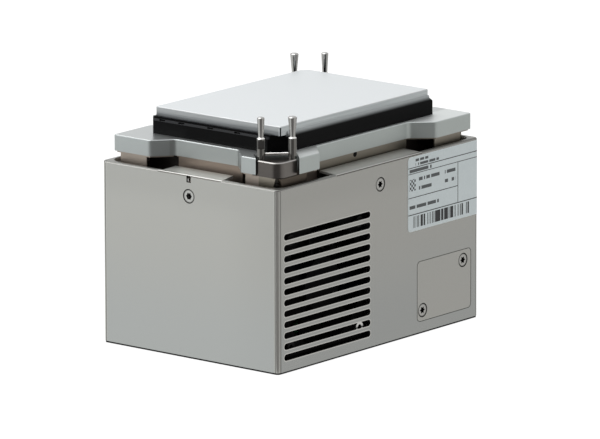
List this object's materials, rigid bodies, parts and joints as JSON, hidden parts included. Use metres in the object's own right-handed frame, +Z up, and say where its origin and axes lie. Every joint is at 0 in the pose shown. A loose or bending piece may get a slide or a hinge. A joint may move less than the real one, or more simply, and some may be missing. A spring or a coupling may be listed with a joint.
{
  "type": "thermal mixer",
  "caption": "Bench thermal mixer: vented steel box with an orbiting, heated and cooled plate seat that clamps a microplate by pins at two opposite corners.",
  "frame": {"origin": "centre of the base plate's underside", "axes": "+Z up, X along the long side, the vented face with the access cover looks to -Y"},
  "size_m": [0.1486, 0.1053, 0.117],
  "materials": {
    "casing_steel": "brushed",
    "polished_steel": "polished",
    "warm_steel": "polished",
    "dark_steel": "polished",
    "anodised": "satin anodised",
    "adapter_aluminium": "satin anodised",
    "raw_aluminium": "machined",
    "black_anodised": "matt anodised",
    "black_plastic": "moulded",
    "fan_plastic": "moulded",
    "label_film": "satin film",
    "ceramic": "matt ceramic",
    "foam": "closed-cell foam",
    "board_green": "solder mask",
    "component_black": "moulded",
    "brass_part": "machined",
    "bearing_steel": "ground",
    "copper_stator": "wound",
    "washer_plastic": "machined"
  },
  "bodies": {
    "chassis": {"base_plate": "black_anodised", "base_screws": "polished_steel", "casing": "casing_steel", "casing_screws": "polished_steel", "casing_posts": "raw_aluminium", "access_cover": "casing_steel", "cover_backing": "casing_steel", "cover_screws": "polished_steel", "rating_label": "label_film", "deck_plate": "raw_aluminium", "deck_posts": "raw_aluminium", "deck_screws": "polished_steel", "motor_housing": "black_anodised", "motor_bearings": "bearing_steel", "motor_stator": "copper_stator", "motor_screws": "polished_steel", "guide_bearings_lower": "bearing_steel", "fan_housing": "fan_plastic", "fan_bracket": "raw_aluminium", "fan_screws": "polished_steel", "control_board": "board_green", "board_standoffs": "brass_part", "board_components": "component_black", "power_socket": "component_black", "data_socket": "component_black", "home_sensor": "component_black"},
    "eccentric": {"motor_shaft": "bearing_steel", "motor_rotor": "dark_steel", "eccentric_hub": "bearing_steel", "counterweight": "brass_part"},
    "tray": {"tray_subplate": "raw_aluminium", "main_bearing": "bearing_steel", "guide_bearings_upper": "bearing_steel", "tray_pillars": "polished_steel", "thermal_washers": "washer_plastic", "pillar_screws": "polished_steel", "heatsink": "raw_aluminium", "peltier_modules": "ceramic", "cold_plate": "raw_aluminium", "temperature_sensor": "polished_steel", "insulation_foam": "foam", "insulation_cover": "black_plastic", "adapter_plate": "adapter_aluminium", "shaker_frame": "anodised", "tray_skirt_left": "warm_steel", "tray_skirt_right": "warm_steel", "tray_shroud": "black_plastic", "clamp_solenoid_near": "component_black", "clamp_solenoid_far": "component_black"},
    "fan_rotor": {"fan_rotor": "fan_plastic"},
    "guide_crank_a": {"guide_crank_a": "polished_steel"},
    "guide_crank_b": {"guide_crank_b": "polished_steel"},
    "guide_crank_c": {"guide_crank_c": "polished_steel"},
    "guide_crank_d": {"guide_crank_d": "polished_steel"},
    "clamp_near": {"clamp_block_near": "dark_steel", "clamp_pins_near": "bearing_steel", "clamp_arm_near": "polished_steel"},
    "clamp_far": {"clamp_block_far": "dark_steel", "clamp_pins_far": "bearing_steel", "clamp_arm_far": "polished_steel"}
  },
  "joints": [
    {"name": "shaft_spin", "type": "hinge", "parent": "chassis", "child": "eccentric", "pos_m": [0, 0, 0.045], "axis": [0, 0, 1], "continuous": true},
    {"name": "tray_orbit", "type": "hinge", "parent": "eccentric", "child": "tray", "pos_m": [0.0008, -0.0006, 0.05], "axis": [0, 0, 1], "continuous": true},
    {"name": "clamp_near_slide", "type": "slide", "parent": "tray", "child": "clamp_near", "axis": [0.7071, 0.7071, 0], "range_m": [0, 0.0012]},
    {"name": "clamp_far_slide", "type": "slide", "parent": "tray", "child": "clamp_far", "axis": [-0.7071, -0.7071, 0], "range_m": [0, 0.0012]},
    {"name": "fan_spin", "type": "hinge", "parent": "chassis", "child": "fan_rotor", "pos_m": [-0.0378, -0.045, 0.036], "axis": [0, -1, 0], "continuous": true},
    {"name": "guide_crank_a_spin", "type": "hinge", "parent": "chassis", "child": "guide_crank_a", "pos_m": [-0.042, -0.024, 0.042], "axis": [0, 0, 1], "continuous": true},
    {"name": "guide_crank_b_spin", "type": "hinge", "parent": "chassis", "child": "guide_crank_b", "pos_m": [0.042, -0.024, 0.042], "axis": [0, 0, 1], "continuous": true},
    {"name": "guide_crank_c_spin", "type": "hinge", "parent": "chassis", "child": "guide_crank_c", "pos_m": [0.042, 0.024, 0.042], "axis": [0, 0, 1], "continuous": true},
    {"name": "guide_crank_d_spin", "type": "hinge", "parent": "chassis", "child": "guide_crank_d", "pos_m": [-0.042, 0.024, 0.042], "axis": [0, 0, 1], "continuous": true}
  ],
  "couplings": [
    {"joint": "tray_orbit", "follows": "shaft_spin", "ratio": -1},
    {"joint": "guide_crank_a_spin", "follows": "shaft_spin", "ratio": 1},
    {"joint": "guide_crank_b_spin", "follows": "shaft_spin", "ratio": 1},
    {"joint": "guide_crank_c_spin", "follows": "shaft_spin", "ratio": 1},
    {"joint": "guide_crank_d_spin", "follows": "shaft_spin", "ratio": 1},
    {"joint": "clamp_far_slide", "follows": "clamp_near_slide", "ratio": 1}
  ]
}
